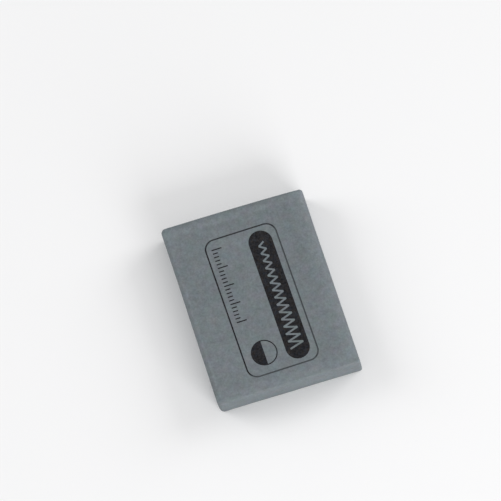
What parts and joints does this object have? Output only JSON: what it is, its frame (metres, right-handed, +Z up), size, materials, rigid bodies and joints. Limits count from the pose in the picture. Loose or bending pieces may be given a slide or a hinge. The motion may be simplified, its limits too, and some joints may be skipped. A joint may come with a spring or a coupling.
{
  "type": "kneaded eraser",
  "caption": "Flat slab of soft grey putty rubber for lifting pencil and charcoal marks, with soft rims and a dark stamped print on its top face.",
  "frame": {"origin": "middle of the block's outline as seen from above, on the surface that the block lies on", "axes": "+Z up out of the printed face, +Y along the long side towards the end where the zigzag fades, +X along the short side towards the solid bar"},
  "size_m": [0.0382, 0.0484, 0.0093],
  "materials": {
    "putty_rubber": "matt, smooth and slightly waxy, with faint mottling",
    "print_ink": "matt stamped ink, near black"
  },
  "bodies": {
    "root": {"eraser_block": "putty_rubber", "ink_print": "print_ink"}
  },
  "joints": []
}
